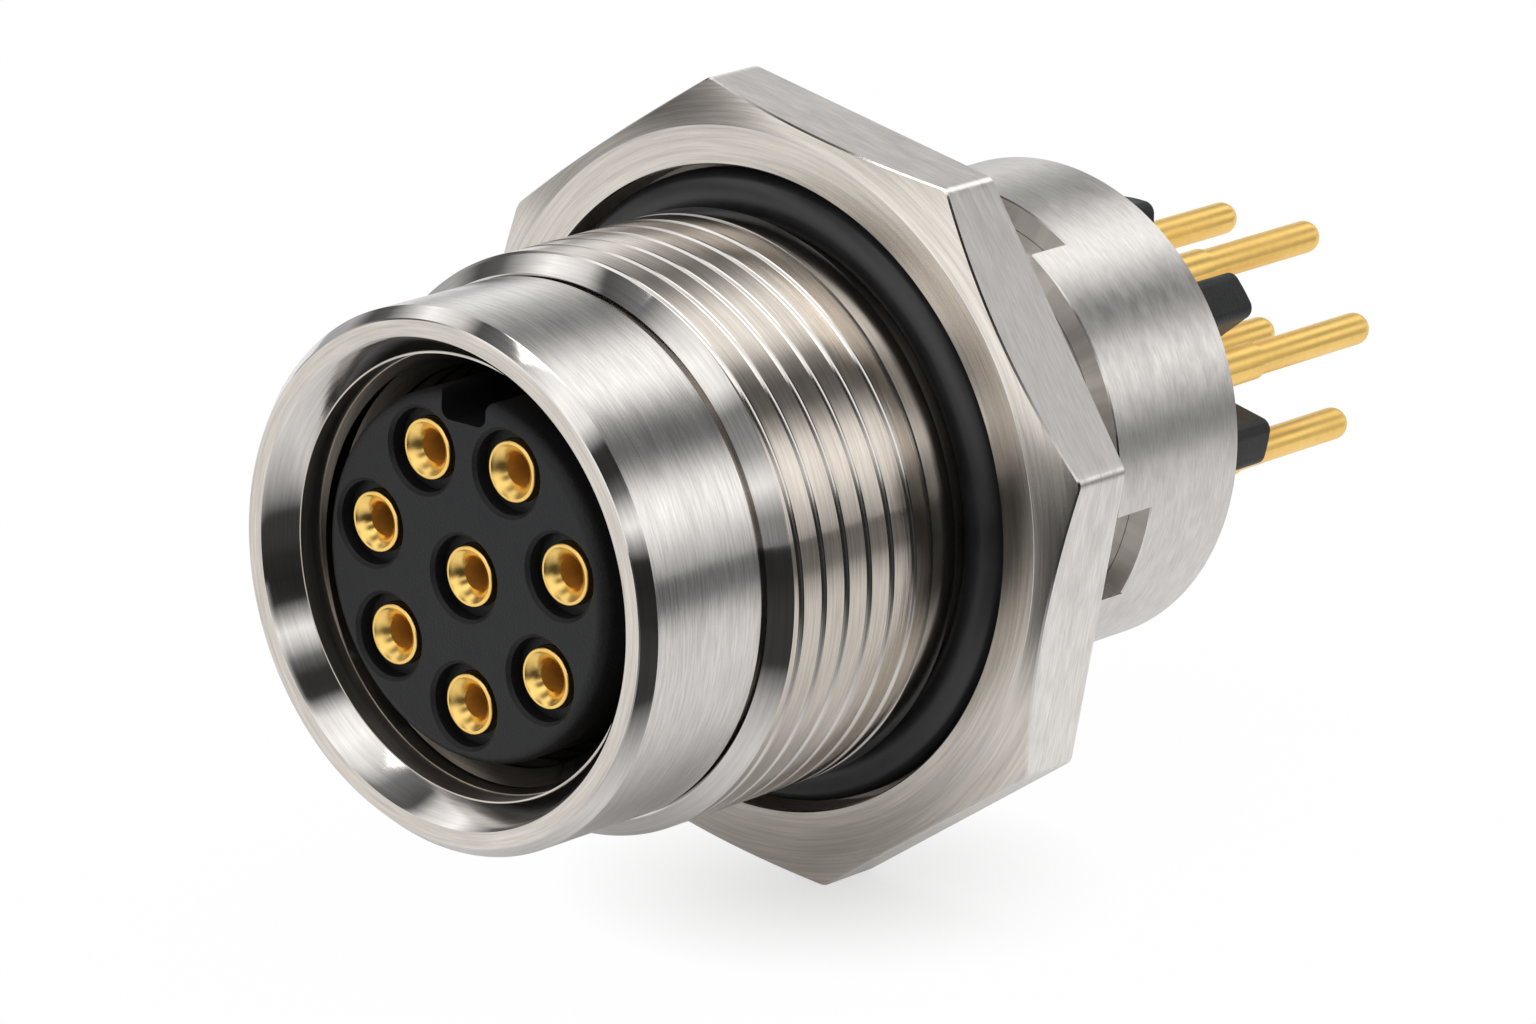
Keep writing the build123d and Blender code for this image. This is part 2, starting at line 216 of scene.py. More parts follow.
class SocketFinish(bpy.types.PropertyGroup):
    """Colours and roughness of the finishes."""

    nickel: bpy.props.FloatVectorProperty(
        name="Nickel", description="Colour of the plated shell", subtype="COLOR",
        default=(0.66, 0.635, 0.61), min=0.0, max=1.0,
    )
    gold: bpy.props.FloatVectorProperty(
        name="Gold", description="Colour of the plated contacts", subtype="COLOR",
        default=(0.94, 0.63, 0.19), min=0.0, max=1.0,
    )
    plastic: bpy.props.FloatVectorProperty(
        name="Plastic", description="Colour of the moulded inserts", subtype="COLOR",
        default=(0.0085, 0.009, 0.0105), min=0.0, max=1.0,
    )
    rubber: bpy.props.FloatVectorProperty(
        name="Rubber", description="Colour of the seal rings", subtype="COLOR",
        default=(0.016, 0.016, 0.018), min=0.0, max=1.0,
    )
    brushing: bpy.props.FloatProperty(
        name="Brushing", description="Strength of the fine turned marks", subtype="FACTOR",
        default=0.5, min=0.0, max=1.0,
    )


class SocketStage(bpy.types.PropertyGroup):
    """Light and floor."""

    floor: bpy.props.FloatVectorProperty(
        name="Floor", description="Colour of the floor", subtype="COLOR",
        default=(0.93, 0.93, 0.93), min=0.0, max=1.0,
    )
    key: bpy.props.FloatProperty(
        name="Key light", description="Power of the large soft light over the socket", default=0.12,
        min=0.0, unit="POWER",
    )


def shell_angles(columns):
    """Angles of the shell's columns: evenly spaced, with more across each rounded corner of the flange."""
    even = np.arange(columns) * FULL_TURN / columns
    steps = np.linspace(-1.0, 1.0, CORNER_COLUMNS) * CORNER_HALF
    corners = FLANGE_PHASE + np.arange(FLANGE_SIDES)[:, None] * 2 * FLANGE_HALF + steps[None, :]
    middles = corners[:, CORNER_COLUMNS // 2]
    gap = np.abs((even[:, None] - middles + FLANGE_HALF) % (2 * FLANGE_HALF) - FLANGE_HALF)
    even = even[gap.min(axis=1) > CORNER_HALF * CORNER_CLEAR]
    return np.sort(np.concatenate([even, corners.ravel() % FULL_TURN]))


def flange_radius(angles):
    """Distance from the axis to the flange's outline.

    On a flat it is the flat's distance over the cosine of the angle from the flat's middle. Across a corner
    it is where the ray meets the corner's circle, whose centre is on the corner's ray.
    """
    off = (angles - FLANGE_PHASE + FLANGE_HALF) % (2 * FLANGE_HALF) - FLANGE_HALF
    flat = FLANGE_FLAT_R / np.cos(FLANGE_HALF - np.abs(off))
    inside = np.clip(FLANGE_CORNER_R**2 - (CORNER_CENTRE * np.sin(off)) ** 2, 0.0, None)
    corner = CORNER_CENTRE * np.cos(off) + np.sqrt(inside)
    return np.where(np.abs(off) < CORNER_HALF, corner, flat)


def groove_depth(y, angles, groove, start, pitch):
    """Depth of a right-hand thread groove.

    The groove's middle is at y = start + pitch * (turn - angle / full turn), and the depth depends on the
    distance from the nearest middle along the axis, straight between the groove's points.
    """
    turn = (y - start) / pitch + angles / FULL_TURN
    distance = np.abs(turn - np.round(turn)) * pitch
    places, depths = zip(*groove)
    return np.interp(distance, places, depths)


def thread_heights(angles, span, groove, start, pitch, plain):
    """Heights of the rows of a threaded stretch, sorted in each column.

    The rows along the groove lie at start + pitch * (turn - angle / full turn) plus or minus each of the
    groove's distances, held inside the span, and the plain rows keep one height all round.
    """
    turns = np.arange(math.floor((span[0] - start) / pitch) - 1, math.ceil((span[1] - start) / pitch) + 3)
    distances = np.array([place for place, depth in groove])
    offsets = np.concatenate([-distances, distances])
    middles = start + pitch * (turns[:, None] - angles[None, :] / FULL_TURN)
    rows = (middles[:, None, :] + offsets[None, :, None]).reshape(-1, len(angles))
    rows = np.clip(rows, span[0], span[1])
    flat = np.repeat(np.array(plain)[:, None], len(angles), axis=1)
    return np.sort(np.vstack([rows, flat]), axis=0)


class Skin:
    """Rows of one turned surface. Each band between two rows has a finish of its own."""

    def __init__(self, angles):
        self.angles = angles
        self.radii = []
        self.heights = []
        self.finishes = []
        self.helices = []

    def row(self, radius, height, finish):
        """Add a row, given by numbers or by one value per column, and the finish of the band before it."""
        count = len(self.angles)
        self.radii.append(np.broadcast_to(radius, count))
        self.heights.append(np.broadcast_to(height, count))
        self.finishes.append(np.broadcast_to(finish, count))

    def points(self):
        """The points (r cos a, y, r sin a) of all rows."""
        radii = np.array(self.radii)
        return np.stack(
            [radii * np.cos(self.angles), np.array(self.heights), radii * np.sin(self.angles)], axis=-1
        )

    def helix(self, first, last, shift):
        """Note that past the last column the rows from first to last go on as the rows shift further."""
        self.helices.append((first, last, shift))

    def grid(self):
        """Points, four-sided faces and the finish of each face. The last row is joined to the first."""
        points = self.points()
        rows, columns = points.shape[:2]
        index = np.arange(rows * columns).reshape(rows, columns)
        onward = np.arange(rows)
        for first, last, shift in self.helices:
            onward[first:last + 1] = np.clip(onward[first:last + 1] + shift, first, last)
        beside = np.roll(index, -1, axis=1)
        beside[:, -1] = index[onward, 0]
        faces = np.stack([index, beside, np.roll(beside, -1, axis=0), np.roll(index, -1, axis=0)], axis=-1)
        finish = np.roll(np.array(self.finishes), -1, axis=0)
        return points.reshape(-1, 3), faces.reshape(-1, 4), finish.ravel()


def welded(points, faces, finish):
    """Join equal points, drop faces that fold to nothing and turn the rest outwards."""
    keys = np.round(points / WELD_MM).astype(np.int64)
    first, same = np.unique(keys, axis=0, return_index=True, return_inverse=True)[1:]
    points = points[first]
    faces = same.reshape(-1)[faces]
    repeated = faces == np.roll(faces, -1, axis=1)
    crossed = (faces[:, 0] == faces[:, 2]) | (faces[:, 1] == faces[:, 3])
    quads = (repeated.sum(axis=1) == 0) & ~crossed
    threes = (repeated.sum(axis=1) == 1) & ~crossed
    triangles = faces[threes][~repeated[threes]].reshape(-1, 3)
    kept = [faces[quads], triangles]
    finishes = np.concatenate([finish[quads], finish[threes]])
    volume = 0.0
    for part in kept:
        for step in range(1, part.shape[1] - 1):
            a, b, c = points[part[:, 0]], points[part[:, step]], points[part[:, step + 1]]
            volume += np.einsum("ij,ij->", a, np.cross(b, c))
    if volume < 0.0:
        kept = [part[:, ::-1] for part in kept]
    return points, kept, finishes


def add_piece(name, skins, materials, nodes):
    """Put welded skins into one mesh at the origin under the body, in metres; hide the nodes it replaces."""
    corners, polygons, finishes = [], [], []
    start = 0
    for points, faces, finish in skins:
        points, kept, finish = welded(points, faces, finish)
        corners.append(points * MM)
        for part in kept:
            polygons.extend((part + start).tolist())
        finishes.append(finish)
        start += len(points)
    mesh = bpy.data.meshes.new(name)
    mesh.from_pydata(np.concatenate(corners).tolist(), [], polygons)
    for material in materials:
        mesh.materials.append(material)
    mesh.polygons.foreach_set("material_index", np.concatenate(finishes).astype(np.int32))
    mesh.polygons.foreach_set("use_smooth", np.ones(len(polygons), bool))
    mesh.set_sharp_from_angle(angle=SHARP_ANGLE)
    if mesh.validate():
        raise RuntimeError(f"{name} has faces that can't be used")
    piece = bpy.data.objects.new(name, mesh)
    bpy.context.scene.collection.objects.link(piece)
    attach(piece, BODY)
    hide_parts(*nodes)


# A nickel finish: its name and the tint of the plating's colour, its roughness, the strength of its turned
# marks, their number per millimetre, how often they change round the axis, the share of the radius in their
# pattern, and the strength of their relief. Some tints paint light or shade, as said beside them.
NickelPlan = namedtuple("NickelPlan", "name tint rough marks fine drift share bump")
PLAIN_TINT = (1.0, 1.0, 1.0)
# Darker and warmer: painted shade in the bores, and a painted brown reflection on the thread's crests
WARM_PAINTED_SHADE_TINT = (0.84, 0.79, 0.73)
FACED_TINT = (1.02, 0.99, 0.94)
# Much darker: painted shade inside the threaded bore
SHADED_TINT = (0.3, 0.27, 0.24)
# Lighter than the plating: painted light on the flange's flats and the sleeve's front edges
PAINTED_LIGHT_TINT = (1.25, 1.25, 1.25)
NICKEL_PLANS = [
    NickelPlan("brushed_nickel", PLAIN_TINT, 0.2, 1.0, 15.0, 8.0, 1.0, 0.45),
    NickelPlan("polished_nickel", PLAIN_TINT, 0.1, 0.7, 12.0, 4.0, 1.0, 0.2),
    NickelPlan("thread_crest_painted_reflection", WARM_PAINTED_SHADE_TINT, 0.13, 1.0, 12.0, 4.0, 0.0, 0.35),
    NickelPlan("thread_groove", PLAIN_TINT, 0.12, 0.5, 12.0, 3.0, 1.0, 0.1),
    NickelPlan("milled_nickel_painted_light", PAINTED_LIGHT_TINT, 0.4, 0.8, 16.0, 14.0, 0.0, 0.4),
    NickelPlan("bored_nickel_painted_shade", WARM_PAINTED_SHADE_TINT, 0.38, 1.0, 12.0, 3.0, 1.0, 0.25),
    NickelPlan("faced_nickel", FACED_TINT, 0.24, 1.0, 12.0, 4.0, 1.0, 0.45),
    NickelPlan("threaded_bore_nickel_painted_shade", SHADED_TINT, 0.3, 1.0, 12.0, 3.0, 1.0, 0.2),
    NickelPlan("sleeve_nickel", PLAIN_TINT, 0.33, 0.8, 16.0, 14.0, 1.0, 0.35),
]
# Finish numbers. The crest, bore and threaded bore finishes carry painted shade, the milled one painted light
BRUSHED, POLISHED, CREST, GROOVE, MILLED, BORE, FACED, THREADED_BORE, SLEEVE = range(len(NICKEL_PLANS))


# Finishes of the seal ring and of the contact hoods
RUBBER = 0
GOLD, GOLD_BORE = range(2)


def mounting_thread(skin, pitch):
    """The outside thread, from its lead chamfer to the run-out groove and the plain band behind it."""
    start, end = THREAD_Y
    runout_start, runout_end = RUNOUT_Y
    behind = [runout_start + EDGE, runout_end - EDGE, runout_end, end]
    plain = [start, start + THREAD_LEAD, runout_start, *behind]
    deepest = MOUNT_GROOVE[0][1]
    heights = thread_heights(skin.angles, (start, runout_start), MOUNT_GROOVE, MOUNT_START_Y, pitch, plain)

    def depth(y):
        thread = groove_depth(y, skin.angles, MOUNT_GROOVE, MOUNT_START_Y, pitch)
        thread = np.where(y < runout_start, thread, 0.0)
        runout = np.interp(y, [runout_start, *behind[:3]], [0.0, deepest, deepest, 0.0])
        return np.maximum(thread, runout)

    lead = THREAD_R - THREAD_LEAD + (heights - start)
    radii = np.minimum(THREAD_R - depth(heights), lead)
    middles = (heights[1:] + heights[:-1]) / 2
    finish = np.where(depth(middles) > GROOVE_SHOWS, GROOVE, CREST)
    finish = np.where(middles > runout_end, POLISHED, finish)
    finish = np.where(middles < start + THREAD_LEAD, POLISHED, finish)
    first = len(skin.radii)
    skin.row(radii[0], heights[0], POLISHED)
    for radius, height, band in zip(radii[1:], heights[1:], finish):
        skin.row(radius, height, band)
    skin.helix(first, len(skin.radii) - 1 - len(behind), -2 * len(MOUNT_GROOVE))


def coupling_thread(skin, pitch):
    """The inside thread, from its rear end to the lead chamfer at the mouth bore."""
    front, rear = COUPLING_START_Y, COUPLING_END_Y
    lead = MOUTH_BORE_R - EDGE / 2 - COUPLING_R
    heights = thread_heights(
        skin.angles, (front, rear), COUPLING_GROOVE, front, pitch, [front, front + lead, rear]
    )[::-1]
    depth = groove_depth(heights, skin.angles, COUPLING_GROOVE, front, pitch)
    radii = np.maximum(COUPLING_R + depth, COUPLING_R + lead - (heights - front))
    first = len(skin.radii)
    for radius, height in zip(radii, heights):
        skin.row(radius, height, THREADED_BORE)
    skin.helix(first, len(skin.radii) - 1, 2 * len(COUPLING_GROOVE))
    skin.row(MOUTH_BORE_R - EDGE / 2, front, THREADED_BORE)
    skin.row(MOUTH_BORE_R, front, FACED)


def shell_skin(shape):
    """The whole shell as one closed skin, from the rim along the outside to the rear and back inside."""
    skin = Skin(shell_angles(shape.columns))
    flange = flange_radius(skin.angles)
    rise = (flange - FLANGE_FACE_R) * FLANGE_SLOPE
    across, along = RIM_CHAMFER
    skin.row(MOUTH_R, MOUTH_Y, POLISHED)
    skin.row(BARREL_R - across - EDGE / 2, MOUTH_Y, FACED)
    skin.row(BARREL_R - across + EDGE / 2, MOUTH_Y + EDGE / 2, POLISHED)
    skin.row(BARREL_R - EDGE / 2, MOUTH_Y + along - EDGE / 2, POLISHED)
    skin.row(BARREL_R, MOUTH_Y + along + EDGE / 2, POLISHED)
    skin.row(BARREL_R, BARREL_END_Y - EDGE, BRUSHED)
    skin.row(BARREL_R - EDGE, BARREL_END_Y, POLISHED)
    skin.row(RELIEF_R, BARREL_END_Y, POLISHED)
    skin.row(RELIEF_R, THREAD_Y[0], POLISHED)
    mounting_thread(skin, shape.mount_pitch / MM)
    skin.row(NECK_R, THREAD_Y[1] + THREAD_R - NECK_R, POLISHED)
    skin.row(NECK_R, RECESS_DEPTH, BORE)
    skin.row(RECESS_R, RECESS_DEPTH, BORE)
    skin.row(RECESS_R, EDGE, BORE)
    skin.row(RECESS_R + EDGE, 0.0, POLISHED)
    skin.row(FLANGE_FACE_R - EDGE / 2, 0.0, FACED)
    skin.row(FLANGE_FACE_R + EDGE / 2, EDGE / 2 * FLANGE_SLOPE, POLISHED)
    skin.row(flange - EDGE, np.maximum(rise - EDGE * FLANGE_SLOPE, EDGE / 2 * FLANGE_SLOPE), FACED)
    skin.row(flange, rise + EDGE, POLISHED)
    skin.row(flange, FLANGE_THICKNESS - EDGE, MILLED)
    skin.row(flange - EDGE, FLANGE_THICKNESS, POLISHED)
    skin.row(REAR_NECK_R, FLANGE_THICKNESS, BRUSHED)
    skin.row(REAR_NECK_R, REAR_Y - REAR_NECK_LEAD, BRUSHED)
    skin.row(REAR_NECK_R - REAR_NECK_LEAD, REAR_Y, POLISHED)
    skin.row(SEAT_R, REAR_Y, BRUSHED)
    relief_r, relief_length = COUPLING_RELIEF
    ledge_r, ledge_length = LEDGE
    ledge_front = COUPLING_END_Y + relief_length
    skin.row(SEAT_R, ledge_front + ledge_length, BORE)
    skin.row(ledge_r, ledge_front + ledge_length, BORE)
    skin.row(ledge_r, ledge_front, BORE)
    skin.row(relief_r, ledge_front, BORE)
    skin.row(relief_r, COUPLING_END_Y, BORE)
    coupling_thread(skin, shape.coupling_pitch / MM)
    skin.row(MOUTH_BORE_R, CONE_START_Y + MOUTH_CONE, BORE)
    skin.row(MOUTH_BORE_R + EDGE, CONE_START_Y + MOUTH_CONE, FACED)
    skin.row(MOUTH_R - MOUTH_EDGE, CONE_START_Y, POLISHED)
    return skin


def notched_sleeve():
    """The rear sleeve: a closed skin whose front rows step back inside each parallel-sided notch.

    Inside a notch a column is at its middle's angle plus arcsin(offset / radius), and between two notches
    the columns share out the rest of the turn evenly.
    """
    lip_r, lip_length = SLEEVE_LIP
    front, rear = SLEEVE_LOW[1], SLEEVE_HIGH[1]
    floor = front + NOTCH_LENGTH
    pitch = FULL_TURN / NOTCHES
    across = np.linspace(-1.0, 1.0, NOTCH_COLUMNS)
    between = np.linspace(0.0, 1.0, SPACE_COLUMNS)
    inside = np.concatenate([np.ones(across.size, bool), np.zeros(between.size, bool)])
    cut = np.tile(inside, NOTCHES)
    step = np.where(cut, floor, front)
    profile = [
        (SLEEVE_BORE_R, step, BORE),
        (SLEEVE_R - EDGE, step, MILLED),
        (SLEEVE_R, step + EDGE, POLISHED),
        (SLEEVE_R, floor + EDGE, SLEEVE),
        (SLEEVE_R, rear - SLEEVE_EDGE, SLEEVE),
        (SLEEVE_R - SLEEVE_EDGE, rear, POLISHED),
        (lip_r, rear, FACED),
        (lip_r, rear - lip_length, BORE),
        (SLEEVE_BORE_R, rear - lip_length, BORE),
        (SLEEVE_BORE_R, floor, BORE),
    ]
    points, finishes = [], []
    for radius, height, finish in profile:
        reach = NOTCH_WIDTH / 2 / radius
        half = math.asin(reach)
        local = np.concatenate([np.arcsin(across * reach), half + between * (pitch - 2 * half)])
        angles = (NOTCH_PHASE + np.arange(NOTCHES)[:, None] * pitch + local[None, :]).ravel()
        heights = np.broadcast_to(height, angles.shape)
        points.append(np.stack([radius * np.cos(angles), heights, radius * np.sin(angles)], axis=-1))
        finishes.append(np.full(angles.shape, finish))
    rows, columns = len(profile), cut.size
    index = np.arange(rows * columns).reshape(rows, columns)
    after = np.roll(index, -1, axis=0)
    faces = np.stack([index, np.roll(index, -1, axis=1), np.roll(after, -1, axis=1), after], axis=-1)
    finish = np.roll(np.array(finishes), -1, axis=0)
    return np.concatenate(points), faces.reshape(-1, 4), finish.ravel()


def seal_ring():
    """The O-ring: a circle of the cord's radius carried round the axis."""
    cord = (RING_HIGH[1] - RING_LOW[1]) / 2
    middle = (RING_HIGH[1] + RING_LOW[1]) / 2
    reach = NECK_R + EDGE + cord
    skin = Skin(np.arange(RING_COLUMNS) * FULL_TURN / RING_COLUMNS)
    for turn in np.arange(CORD_ROWS) * FULL_TURN / CORD_ROWS:
        skin.row(reach + cord * math.cos(turn), middle + cord * math.sin(turn), RUBBER)
    return skin.grid()


def hood_skin(place):
    """One contact hood: rounded lip, slightly swollen funnel, entry and seat, turned round its own axis."""
    front, rear = HOOD_LOW[1], HOOD_HIGH[1]
    funnel_end = front + HOOD_FUNNEL
    skin = Skin(np.arange(HOOD_COLUMNS) * FULL_TURN / HOOD_COLUMNS)
    for turn in np.linspace(0.0, math.pi / 2, LIP_ROWS):
        skin.row(HOOD_R - HOOD_EDGE * (1 - math.sin(turn)), front + HOOD_EDGE * (1 - math.cos(turn)), GOLD)
    skin.row(HOOD_R, rear, GOLD)
    skin.row(HOOD_SEAT_R, rear, GOLD_BORE)
    skin.row(HOOD_SEAT_R, funnel_end + HOOD_ENTRY, GOLD_BORE)
    skin.row(HOOD_ENTRY_R, funnel_end + HOOD_ENTRY, GOLD_BORE)
    skin.row(HOOD_ENTRY_R, funnel_end + EDGE, GOLD_BORE)
    for share in np.linspace(0.0, 1.0, FUNNEL_ROWS):
        swell = HOOD_SWELL * math.sin(share * math.pi)
        skin.row(
            HOOD_ENTRY_R + share * (HOOD_MOUTH_R - HOOD_ENTRY_R) - swell,
            front + (1 - share) * HOOD_FUNNEL + EDGE / 2 - swell, GOLD,
        )
    skin.row(HOOD_MOUTH_R + EDGE / 2, front, GOLD)
    points, faces, finish = skin.grid()
    return points + np.array([place[0], 0.0, place[1]]), faces, finish


# Most values of a noise lie in this range
NOISE_RANGE = (0.3, 0.7)

# Turned marks: scale of the broad pattern against the fine one, shares of the fine and the broad pattern in
# the relief, and the smallest radius that is divided by, in metres
BROAD_SCALE = (0.6, 0.16, 0.6)
RELIEF_SHARES = (0.7, 0.3)
LEAST_RADIUS = 1e-6

# Scale of the grain's soft patches against the grain
PATCH_SCALE = 0.06

# How far marks and patches change a colour, and how far they change a roughness
MARK_DARKER, MARK_LIGHTER = 0.22, 0.10
MARK_GLOSS = (0.85, 1.2)
PLATED_TONES, PLATED_GLOSS = (0.94, 1.03), (0.8, 1.2)
MOULDED_TONES, MOULDED_GLOSS = (0.85, 1.2), (0.9, 1.15)

# Depth of the relief in millimetres, and how far a metal's reflections are stretched across its marks
MARK_RELIEF = 0.01
GRAIN_RELIEF = 0.02
STRETCH = 0.6

# Gold: scale of its grain per millimetre, and the tint, roughness and metallic share in the hoods' bores;
# the tint paints a deeper, more orange shade there, and the lower metallic share paints the bores lighter
GOLD_GRAIN = 4.0
GOLD_BORE_PAINTED_SHADE_TINT = (0.95, 0.8, 0.5)
GOLD_BORE_ROUGH, GOLD_BORE_METALLIC = 0.45, 0.7


def new_group(name, inputs, outputs):
    """A shader node group whose sockets are all numbers, and its input and output nodes."""
    group = bpy.data.node_groups.new(name, "ShaderNodeTree")
    for side, sockets in (("INPUT", inputs), ("OUTPUT", outputs)):
        for socket in sockets:
            group.interface.new_socket(socket, in_out=side, socket_type="NodeSocketFloat")
    return group, group.nodes.new("NodeGroupInput"), group.nodes.new("NodeGroupOutput")


class Sheet:
    """Short calls for the nodes of one tree."""

    def __init__(self, tree):
        self.tree = tree

    def node(self, kind, inputs=(), **settings):
        """Add a node, set its options and fill its inputs with values or links."""
        made = self.tree.nodes.new(kind)
        for key, value in settings.items():
            setattr(made, key, value)
        for key, value in dict(inputs).items():
            self.put(made.inputs[key], value)
        return made

    def put(self, socket, value):
        """Link an output to a socket, or set the socket's value."""
        if isinstance(value, bpy.types.NodeSocket):
            self.tree.links.new(value, socket)
        else:
            socket.default_value = value

    def maths(self, operation, *values):
        """Result of one arithmetic node."""
        return self.node("ShaderNodeMath", enumerate(values), operation=operation).outputs[0]

    def times(self, first, second):
        """Product of two numbers."""
        return self.maths("MULTIPLY", first, second)

    def diagonal(self, first, second):
        """Square root of the sum of two squares."""
        return self.maths("SQRT", self.maths("ADD", self.times(first, first), self.times(second, second)))

    def vectors(self, operation, *values):
        """The node of one vector operation."""
        return self.node("ShaderNodeVectorMath", enumerate(values), operation=operation)

    def place(self):
        """The shaded point in the object's own coordinates."""
        return self.node("ShaderNodeTexCoord").outputs["Object"]

    def parts(self, vector):
        """The X, Y and Z of a vector."""
        return self.node("ShaderNodeSeparateXYZ", {"Vector": vector}).outputs

    def mix(self, factor, first, second):
        """Blend of two colours."""
        made = self.node("ShaderNodeMix", {"Factor": factor, "A": first, "B": second}, data_type="RGBA")
        return made.outputs["Result"]

    def spread(self, value, low, high, new_low, new_high):
        """A value carried from one range to another, held inside the new one."""
        numbers = (value, low, high, new_low, new_high)
        return self.node("ShaderNodeMapRange", enumerate(numbers)).outputs["Result"]

    def varied(self, noise, low, high):
        """A number from low to high that follows a noise."""
        return self.spread(noise, *NOISE_RANGE, low, high)


def turned_marks_group():
    """Fine marks that run round the Y axis, and slow changes along them.

    Four-dimensional noise is read at (cos a * drift, y * fine, sin a * drift, r * fine * share), so that a
    mark keeps its height and its radius, on a cylinder, a cone and a flat face alike.
    """
    group, start, end = new_group(
        "Turned marks", ["Fine", "Drift", "Share"], ["Fine marks", "Broad marks", "Height"]
    )
    sheet = Sheet(group)
    x, y, z = sheet.parts(sheet.place())
    radius = sheet.diagonal(x, z)
    safe = sheet.maths("MAXIMUM", radius, LEAST_RADIUS)
    along = sheet.times(start.outputs["Fine"], 1.0 / MM)
    drift = start.outputs["Drift"]
    vector = sheet.node("ShaderNodeCombineXYZ", {
        "X": sheet.times(sheet.maths("DIVIDE", x, safe), drift),
        "Y": sheet.times(y, along),
        "Z": sheet.times(sheet.maths("DIVIDE", z, safe), drift),
    }).outputs[0]
    depth = sheet.times(sheet.times(radius, along), start.outputs["Share"])
    fine = sheet.node("ShaderNodeTexNoise", {
        "Vector": vector, "W": depth, "Scale": 1.0, "Detail": 3.0, "Roughness": 0.6,
    }, noise_dimensions="4D").outputs["Fac"]
    slow = sheet.vectors("MULTIPLY", vector, BROAD_SCALE).outputs[0]
    broad = sheet.node("ShaderNodeTexNoise", {
        "Vector": slow, "W": sheet.times(depth, BROAD_SCALE[1]), "Scale": 1.0, "Detail": 2.0,
    }, noise_dimensions="4D").outputs["Fac"]
    height = sheet.maths("ADD", sheet.times(fine, RELIEF_SHARES[0]), sheet.times(broad, RELIEF_SHARES[1]))
    for name, value in (("Fine marks", fine), ("Broad marks", broad), ("Height", height)):
        sheet.put(end.inputs[name], value)
    return group


def grain_group():
    """Even fine grain, and soft cloudy patches, from the object's own coordinates."""
    group, start, end = new_group("Grain", ["Size"], ["Grain", "Patches"])
    sheet = Sheet(group)
    place = sheet.place()
    scale = sheet.times(start.outputs["Size"], 1.0 / MM)
    grain = sheet.node("ShaderNodeTexNoise", {
        "Vector": place, "Scale": scale, "Detail": 3.0, "Roughness": 0.65,
    }).outputs["Fac"]
    patches = sheet.node("ShaderNodeTexNoise", {
        "Vector": place, "Scale": sheet.times(scale, PATCH_SCALE), "Detail": 2.0,
    }).outputs["Fac"]
    sheet.put(end.inputs["Grain"], grain)
    sheet.put(end.inputs["Patches"], patches)
    return group


def new_material(name, shades):
    """An empty material with a shader and its output, and constant values set on the shader."""
    material = bpy.data.materials.new(name)
    material.use_nodes = True
    tree = material.node_tree
    tree.nodes.clear()
    shader = tree.nodes.new("ShaderNodeBsdfPrincipled")
    output = tree.nodes.new("ShaderNodeOutputMaterial")
    tree.links.new(shader.outputs[0], output.inputs["Surface"])
    for socket, value in shades.items():
        shader.inputs[socket].default_value = value
    return material, Sheet(tree), shader


def rgba(colour, level=1.0):
    """A colour with its alpha, made lighter or darker."""
    return (*[min(1.0, channel * level) for channel in colour], 1.0)


def grey(level):
    """A grey of one level, with its alpha."""
    return (level, level, level, 1.0)


def tinted(colour, tint):
    """A colour whose channels are taken times those of a tint."""
    return [channel * share for channel, share in zip(colour, tint)]


def vary(sheet, shader, tone, colours, gloss, roughness):
    """Let the colour follow one noise between two colours, and the roughness another between two values."""
    sheet.put(shader.inputs["Base Color"], sheet.mix(sheet.varied(tone, 0.0, 1.0), *colours))
    sheet.put(shader.inputs["Roughness"], sheet.varied(gloss, *roughness))


def emboss(sheet, shader, height, strength, depth):
    """Let the surface rise and sink with a height, over a depth in millimetres."""
    bump = sheet.node("ShaderNodeBump", {"Height": height, "Strength": strength, "Distance": depth * MM})
    sheet.put(shader.inputs["Normal"], bump.outputs[0])


def metal(plan, finish):
    """Metal with marks round the axis, which change its shade and roughness a little and stand as relief.

    Its reflections are stretched across the marks, along the cross product of the normal and the marks.
    """
    material, sheet, shader = new_material(plan.name, {"Metallic": 1.0, "Anisotropic": STRETCH})
    place = sheet.parts(sheet.place())
    marks_run = sheet.node("ShaderNodeCombineXYZ", {"X": sheet.times(place["Z"], -1.0), "Z": place["X"]})
    facing = sheet.node("ShaderNodeNewGeometry").outputs["Normal"]
    across = sheet.vectors("CROSS_PRODUCT", facing, marks_run.outputs[0]).outputs[0]
    sheet.put(shader.inputs["Tangent"], sheet.vectors("NORMALIZE", across).outputs[0])
    group = bpy.data.node_groups.get("Turned marks") or turned_marks_group()
    turned = sheet.node("ShaderNodeGroup", node_tree=group)
    for socket, value in (("Fine", plan.fine), ("Drift", plan.drift), ("Share", plan.share)):
        turned.inputs[socket].default_value = value
    # For some finishes the tint paints light or shade into the plating's colour
    colour = tinted(finish.nickel, plan.tint)
    marks = finish.brushing * 2 * plan.marks
    tones = (1.0 - MARK_DARKER * marks, 1.0 + MARK_LIGHTER * marks)
    vary(
        sheet, shader,
        turned.outputs["Fine marks"], [rgba(colour, level) for level in tones],
        turned.outputs["Broad marks"], [plan.rough * share for share in MARK_GLOSS],
    )
    emboss(sheet, shader, turned.outputs["Height"], plan.bump, MARK_RELIEF)
    return material


